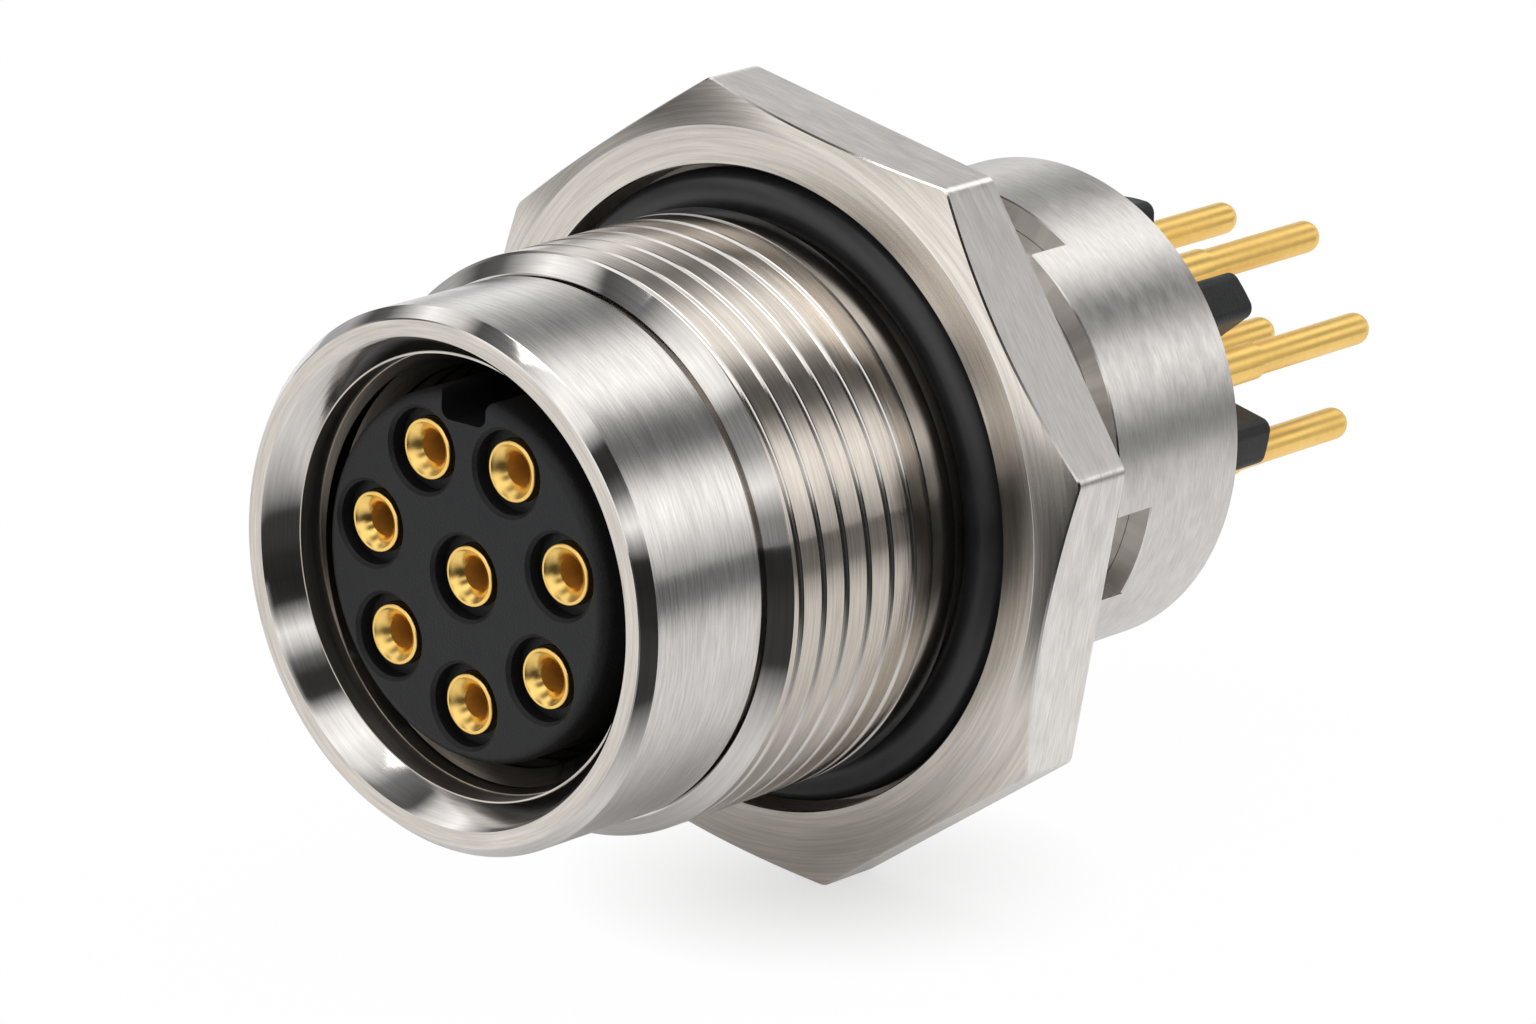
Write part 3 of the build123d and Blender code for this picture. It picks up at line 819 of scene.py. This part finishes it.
def grained(name, shades, size):
    """A new material, its sheet and shader, and the outputs of the grain at a scale per millimetre."""
    material, sheet, shader = new_material(name, shades)
    group = bpy.data.node_groups.get("Grain") or grain_group()
    grain = sheet.node("ShaderNodeGroup", node_tree=group)
    grain.inputs["Size"].default_value = size
    return material, sheet, shader, grain.outputs


def plated(name, colour, rough, metallic=1.0):
    """Smooth plating whose shade changes a little with a fine grain, and its gloss in soft patches."""
    material, sheet, shader, grain = grained(name, {"Metallic": metallic}, GOLD_GRAIN)
    vary(
        sheet, shader,
        grain["Grain"], [rgba(colour, level) for level in PLATED_TONES],
        grain["Patches"], [rough * share for share in PLATED_GLOSS],
    )
    return material


def moulded(name, colour, rough, size, bump, gloss):
    """Moulded plastic or rubber with an even grain and slightly uneven gloss."""
    material, sheet, shader, grain = grained(name, {"Specular IOR Level": gloss}, size)
    vary(
        sheet, shader,
        grain["Patches"], [rgba(colour, level) for level in MOULDED_TONES],
        grain["Patches"], [rough * share for share in MOULDED_GLOSS],
    )
    emboss(sheet, shader, grain["Grain"], bump, GRAIN_RELIEF)
    return material


def nickel_finishes(finish):
    """The shell's finishes, in the order of their numbers."""
    return [bpy.data.materials.get(plan.name) or metal(plan, finish) for plan in NICKEL_PLANS]


def dress(node, material):
    """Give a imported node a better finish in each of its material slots."""
    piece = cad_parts[node]
    for holder in piece.material_slots:
        holder.material = material
    if not piece.material_slots:
        piece.data.materials.append(material)


def contact_places():
    """Places (x, z) of the contacts in millimetres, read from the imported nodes."""
    places = []
    for number in range(1, CONTACTS + 1):
        low, high = frame_box(f"contact_hood_{number}")
        middle = (low + high) / 2
        places.append((middle[0], middle[2]))
    return places


class SOCKET_OT_shell(bpy.types.Operator):
    """Build the threaded shell with its flange."""

    bl_idname = "socket.shell"
    bl_label = "Shell"

    def execute(self, context):
        skin = shell_skin(context.scene.socket_shape).grid()
        finishes = nickel_finishes(context.scene.socket_finish)
        add_piece("threaded_shell", [skin], finishes, ["shell"])
        return {"FINISHED"}


class SOCKET_OT_sleeve(bpy.types.Operator):
    """Build the notched rear sleeve."""

    bl_idname = "socket.sleeve"
    bl_label = "Rear sleeve"

    def execute(self, context):
        finishes = nickel_finishes(context.scene.socket_finish)
        add_piece("notched_sleeve", [notched_sleeve()], finishes, ["rear_sleeve"])
        return {"FINISHED"}


class SOCKET_OT_seals(bpy.types.Operator):
    """Build the panel seal and finish the hidden carrier seal."""

    bl_idname = "socket.seals"
    bl_label = "Seals"

    def execute(self, context):
        colour = context.scene.socket_finish.rubber
        rubber = moulded("seal_rubber", colour, rough=0.34, size=14.0, bump=0.12, gloss=0.5)
        add_piece("panel_seal_ring", [seal_ring()], [rubber], ["panel_o_ring"])
        dress("carrier_seal", rubber)
        return {"FINISHED"}


class SOCKET_OT_inserts(bpy.types.Operator):
    """Finish the moulded contact carrier and rear insulator."""

    bl_idname = "socket.inserts"
    bl_label = "Moulded inserts"

    def execute(self, context):
        colour = context.scene.socket_finish.plastic
        plastic = moulded("moulded_plastic", colour, rough=0.45, size=14.0, bump=0.9, gloss=0.3)
        dress("contact_carrier", plastic)
        dress("rear_insulator", plastic)
        return {"FINISHED"}


class SOCKET_OT_contacts(bpy.types.Operator):
    """Build the gold hoods and finish the contacts."""

    bl_idname = "socket.contacts"
    bl_label = "Contacts"

    def execute(self, context):
        colour = context.scene.socket_finish.gold
        gold = plated("polished_gold", colour, rough=0.26)
        tail = plated("satin_gold", colour, rough=0.4)
        # The bores' copy of the gold: painted shade in its tint, painted light in its lower metallic share
        bore = plated("gold_bore_painted_shade", tinted(colour, GOLD_BORE_PAINTED_SHADE_TINT), GOLD_BORE_ROUGH, GOLD_BORE_METALLIC)
        for number, place in enumerate(contact_places(), start=1):
            node = f"contact_hood_{number}"
            add_piece(f"gold_hood_{number}", [hood_skin(place)], [gold, bore], [node])
            dress(f"contact_{number}", tail)
        return {"FINISHED"}


# The large soft light over the socket: its place and its two sides in millimetres
KEY_PLACE = (30.0, 20.0, 200.0)
KEY_SIZE = (90.0, 200.0)


def key_light(power):
    """The large soft light over the socket, a rectangle turned towards the origin."""
    lamp = bpy.data.lights.new("key_light", "AREA")
    lamp.shape = "RECTANGLE"
    lamp.size, lamp.size_y = KEY_SIZE[0] * MM, KEY_SIZE[1] * MM
    lamp.energy = power
    holder = bpy.data.objects.new("key_light", lamp)
    bpy.context.scene.collection.objects.link(holder)
    holder.location = Vector(KEY_PLACE) * MM
    holder.rotation_mode = "QUATERNION"
    holder.rotation_quaternion = holder.location.to_track_quat("Z", "Y")


# The room's soft boxes and flags run beside the socket: degrees up from the right-hand horizon, over the
# top and down to the left-hand one, and the level there. Their pattern leans by a share and a shift of y.
# The levels were set one by one, guided by the brightness of the reflections in the photograph.
ROOM_STRIPS = [
    (-8, 0.02), (0, 0.16), (7, 0.62), (15, 1.0), (22, 1.4), (30, 1.55), (37, 1.3), (43, 0.62), (49, 0.2),
    (58, 0.15), (65, 0.36), (71, 1.1), (77, 1.5), (90, 1.45), (98, 0.88), (106, 0.38), (114, 0.26),
    (120, 0.42), (128, 0.6), (138, 1.1), (146, 1.15), (154, 0.6), (163, 0.35), (174, 0.5), (190, 0.55),
]
ROOM_LEAN = (0.2, math.radians(8.0))

# In front of the socket other strips stand, not leant, and straight ahead there is one wide soft box.
FRONT_STRIPS = [
    (-8, 0.02), (11, 0.03), (17, 0.5), (24, 1.3), (30, 0.9), (37, 0.2), (44, 0.04), (55, 0.04), (59, 0.5),
    (65, 1.25), (78, 1.5), (91, 1.1), (103, 0.25), (118, 0.1), (125, 0.95), (138, 1.5), (146, 0.7),
    (153, 0.15), (160, 0.1), (168, 0.55), (190, 0.45),
]

# Range of a direction's y over which the front strips give way to the room's, the range over which the wide
# box gives way to both, and the box's level
FRONT_TO_BACK = (0.4, 0.65)
WIDE_BOX = (-0.92, -0.62)
WIDE_BOX_LEVEL = 1.3

# Where the flange's lowest corner stands on the floor
FOOT = (2.3 * MM, 1.3 * MM, CAD_BOX[0].z)

# Floor: its reach in metres, its roughness and gloss, and for each effect a range in millimetres and the
# levels at both ends
FLOOR_REACH = 3.0
FLOOR_ROUGH, FLOOR_GLOSS = 0.6, 0.2
# Painted reflection: the share of the floor's glow that reflections see, coming in away from the socket
REFLECTED_GLOW = (5.0, 20.0), (0.1, 0.97)
# Painted darkness in that glow far out to the right, and further to the right still
FAR_RIGHT = (0.0, 16.0), (1.0, 0.03)
FAR_RIGHT_START = 18.0
HORIZON = (30.0, 60.0), (1.0, 0.25)
# Painted shadow: the camera sees less glow near the foot, so the floor darkens there besides its real shadow
SHADOW = (0.0, 8.0), (0.6, 0.985)


def strip_ramp(sheet, turn, strips):
    """Levels over an angle in radians, through pairs of degrees and level."""
    first, last = strips[0][0], strips[-1][0]
    place = sheet.spread(turn, math.radians(first), math.radians(last), 0.0, 1.0)
    ramp = sheet.node("ShaderNodeValToRGB", {"Fac": place})
    elements = ramp.color_ramp.elements
    elements[0].color = grey(strips[0][1])
    elements[1].color = grey(strips[-1][1])
    for angle, level in strips[1:-1]:
        elements.new((angle - first) / (last - first)).color = grey(level)
    return ramp.outputs["Color"]


def studio_world():
    """A room whose level depends on atan2(z, x) * (1 - share * y) + shift * y for a direction (x, y, z).

    Towards the front, at a low y, it depends on atan2(z, x) alone, and straight ahead it is one wide box.
    """
    world = bpy.data.worlds.new("Studio")
    world.use_nodes = True
    tree = world.node_tree
    tree.nodes.clear()
    sheet = Sheet(tree)
    direction = sheet.node("ShaderNodeTexCoord").outputs["Generated"]
    across, along, height = sheet.parts(direction)
    turn = sheet.maths("ARCTAN2", sheet.maths("MAXIMUM", height, 0.0), across)
    share, shift = ROOM_LEAN
    narrowed = sheet.times(turn, sheet.maths("SUBTRACT", 1.0, sheet.times(along, share)))
    leant = sheet.maths("ADD", narrowed, sheet.times(along, shift))
    side = sheet.mix(
        sheet.spread(along, *FRONT_TO_BACK, 0.0, 1.0),
        strip_ramp(sheet, turn, FRONT_STRIPS), strip_ramp(sheet, leant, ROOM_STRIPS),
    )
    level = sheet.mix(sheet.spread(along, *WIDE_BOX, 1.0, 0.0), side, grey(WIDE_BOX_LEVEL))
    background = sheet.node("ShaderNodeBackground", {"Color": level, "Strength": 1.0})
    output = sheet.node("ShaderNodeOutputWorld")
    tree.links.new(background.outputs[0], output.inputs["Surface"])
    bpy.context.scene.world = world


def fade(sheet, value, effect):
    """One effect of the floor over a distance: its levels, spread over its range in millimetres."""
    (low, high), levels = effect
    return sheet.spread(value, low * MM, high * MM, *levels)


def floor_material(colour):
    """A pale floor that stays near white to the eye and keeps the shadow where the flange stands on it.

    Its glow for the eye thins near the foot, which paints shadow there beside the real one. Reflections see
    a painted reflection: the floor glows bright away from the socket, and darker far out to the right.
    """
    shades = {"Base Color": rgba(colour), "Roughness": FLOOR_ROUGH, "Specular IOR Level": FLOOR_GLOSS}
    material, sheet, shader = new_material("pale_floor", shades)
    place = sheet.place()
    across, along = sheet.parts(place)[:2]
    # Painted reflection: a glow for reflected rays, bright away from the socket and dimmed far to the right
    reflected_glow = fade(sheet, sheet.diagonal(across, along), REFLECTED_GLOW)
    ahead = sheet.maths("SUBTRACT", across, sheet.maths("ADD", along, FAR_RIGHT_START * MM))
    far_right = fade(sheet, sheet.maths("MINIMUM", across, ahead), FAR_RIGHT)
    rays = sheet.node("ShaderNodeLightPath").outputs
    foot = sheet.vectors("DISTANCE", place, FOOT).outputs["Value"]
    # Painted shadow around the foot: the camera sees less of the glow there
    seen = sheet.times(rays["Is Camera Ray"], fade(sheet, foot, SHADOW))
    mirroring = sheet.maths("MAXIMUM", rays["Is Glossy Ray"], rays["Is Transmission Ray"])
    mirrored = sheet.times(mirroring, reflected_glow)
    dimmed = sheet.times(far_right, fade(sheet, across, HORIZON))
    level = sheet.maths("MAXIMUM", rays["Is Camera Ray"], dimmed)
    glow = sheet.node("ShaderNodeEmission", {"Color": level, "Strength": 1.0})
    mixed = sheet.node("ShaderNodeMixShader", {
        "Fac": sheet.maths("MAXIMUM", seen, mirrored), 1: shader.outputs[0], 2: glow.outputs[0],
    })
    output = next(node for node in material.node_tree.nodes if node.bl_idname == "ShaderNodeOutputMaterial")
    sheet.put(output.inputs["Surface"], mixed.outputs[0])
    return material


def place_camera():
    """The photograph's view: turned about the mouth's middle, then shifted in its own plane."""
    azimuth, elevation = CAMERA_AZIMUTH, CAMERA_ELEVATION
    flat = math.cos(elevation)
    back = Vector((math.sin(azimuth) * flat, -math.cos(azimuth) * flat, math.sin(elevation)))
    level = Vector((math.cos(azimuth), math.sin(azimuth), 0.0))
    upright = back.cross(level)
    right = level * math.cos(CAMERA_ROLL) + upright * math.sin(CAMERA_ROLL)
    up = upright * math.cos(CAMERA_ROLL) - level * math.sin(CAMERA_ROLL)
    mouth = Vector((0.0, MOUTH_Y, 0.0))
    place = (mouth + back * CAMERA_DISTANCE + right * CAMERA_ACROSS + up * CAMERA_UP) * MM
    data = bpy.data.cameras.new("Camera")
    data.lens = CAMERA_LENS
    data.sensor_width = CAMERA_SENSOR
    data.clip_start, data.clip_end = CAMERA_CLIP
    camera = bpy.data.objects.new("Camera", data)
    bpy.context.scene.collection.objects.link(camera)
    camera.matrix_world = Matrix.Translation(place) @ Matrix((right, up, back)).transposed().to_4x4()
    bpy.context.scene.camera = camera


class SOCKET_OT_stage(bpy.types.Operator):
    """Lay the floor, place the camera and light the socket."""

    bl_idname = "socket.stage"
    bl_label = "Stage"

    def execute(self, context):
        settings = context.scene.socket_stage
        signs = ((-1, -1), (1, -1), (1, 1), (-1, 1))
        corners = [(x * FLOOR_REACH, y * FLOOR_REACH, CAD_BOX[0].z) for x, y in signs]
        mesh = bpy.data.meshes.new("floor")
        mesh.from_pydata(corners, [], [(0, 1, 2, 3)])
        floor = bpy.data.objects.new("floor", mesh)
        context.scene.collection.objects.link(floor)
        mesh.materials.append(floor_material(settings.floor))
        key_light(settings.key)
        studio_world()
        place_camera()
        context.scene.view_settings.view_transform = "Standard"
        return {"FINISHED"}


class SOCKET_PT_panel(bpy.types.Panel):
    """Sizes, colours and the steps that build the socket."""

    bl_idname = "SOCKET_PT_panel"
    bl_label = "Connector socket"
    bl_space_type = "VIEW_3D"
    bl_region_type = "UI"
    bl_category = "Socket"

    def draw(self, context):
        for settings in [getattr(context.scene, name) for name in SETTINGS]:
            for name in settings.__annotations__:
                self.layout.prop(settings, name)
        for operator in STEPS:
            self.layout.operator(operator.bl_idname)


SETTINGS = {"socket_shape": SocketShape, "socket_finish": SocketFinish, "socket_stage": SocketStage}
STEPS = [
    SOCKET_OT_shell, SOCKET_OT_sleeve, SOCKET_OT_seals,
    SOCKET_OT_inserts, SOCKET_OT_contacts, SOCKET_OT_stage,
]


def register():
    """Add the classes and the settings to Blender."""
    for item in [*SETTINGS.values(), *STEPS, SOCKET_PT_panel]:
        bpy.utils.register_class(item)
    for name, group in SETTINGS.items():
        setattr(bpy.types.Scene, name, bpy.props.PointerProperty(type=group))


def unregister():
    """Take the settings and the classes out of Blender."""
    for name in SETTINGS:
        delattr(bpy.types.Scene, name)
    for item in reversed([*SETTINGS.values(), *STEPS, SOCKET_PT_panel]):
        bpy.utils.unregister_class(item)


def main():
    """Build every piece in order."""
    register()
    for step in STEPS:
        category, name = step.bl_idname.split(".")
        getattr(getattr(bpy.ops, category), name)()


if __name__ == "__main__":
    main()
